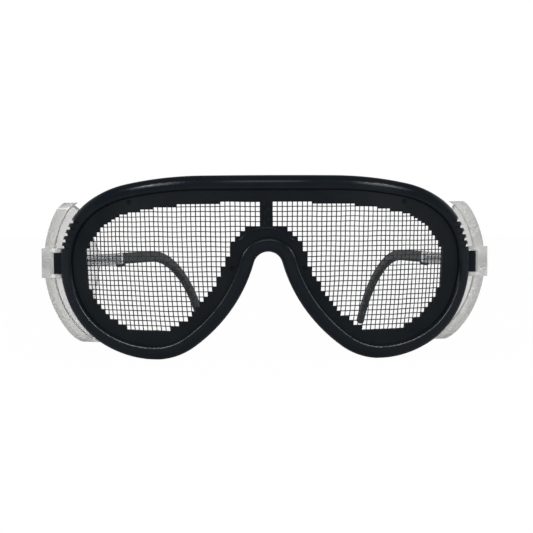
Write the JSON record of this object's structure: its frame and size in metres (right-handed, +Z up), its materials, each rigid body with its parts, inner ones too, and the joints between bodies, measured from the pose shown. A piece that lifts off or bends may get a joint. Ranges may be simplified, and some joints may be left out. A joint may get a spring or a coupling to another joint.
{
  "type": "mesh safety goggles",
  "caption": "Wrapped black goggle front with a woven wire screen, clear cupped side shields on folding temples and sliding hooked ear pieces.",
  "frame": {"origin": "middle of the footprint, on the table the goggles stand on", "axes": "+X across the face towards the right of the picture, +Y from the front towards the ears, +Z up"},
  "size_m": [0.1732, 0.1654, 0.0671],
  "materials": {
    "rim_black": "glossy",
    "border_black": "satin",
    "wire_black": "satin",
    "shield_clear": "clear",
    "bush_pale": "satin",
    "sheath_black": "satin",
    "temple_steel": "satin",
    "screw_steel": "satin",
    "bead_brass": "satin"
  },
  "bodies": {
    "front": {"front_frame": "rim_black", "lens_border": "border_black", "wire_screen": "wire_black", "hinge_screw_left": "screw_steel", "hinge_screw_right": "screw_steel"},
    "left_temple": {"side_shield_left": "shield_clear", "bar_bush_left": "bush_pale"},
    "left_ear": {"ear_piece_left": "sheath_black", "temple_wire_left": "temple_steel", "slide_bead_left": "bead_brass"},
    "right_temple": {"side_shield_right": "shield_clear", "bar_bush_right": "bush_pale"},
    "right_ear": {"ear_piece_right": "sheath_black", "temple_wire_right": "temple_steel", "slide_bead_right": "bead_brass"}
  },
  "joints": [
    {"name": "left_temple_fold", "type": "hinge", "parent": "front", "child": "left_temple", "pos_m": [-0.07885, -0.04374, 0.0346], "axis": [0, 0, -1], "range_deg": [-23.2, 66.8]},
    {"name": "left_ear_slide", "type": "slide", "parent": "left_temple", "child": "left_ear", "axis": [0.3939, 0.9191, 0], "range_m": [0, 0.009]},
    {"name": "right_temple_fold", "type": "hinge", "parent": "front", "child": "right_temple", "pos_m": [0.07895, -0.04374, 0.0346], "axis": [0, 0, 1], "range_deg": [-12.7, 57.3]},
    {"name": "right_ear_slide", "type": "slide", "parent": "right_temple", "child": "right_ear", "axis": [-0.2198, 0.9755, 0], "range_m": [0, 0.009]}
  ]
}
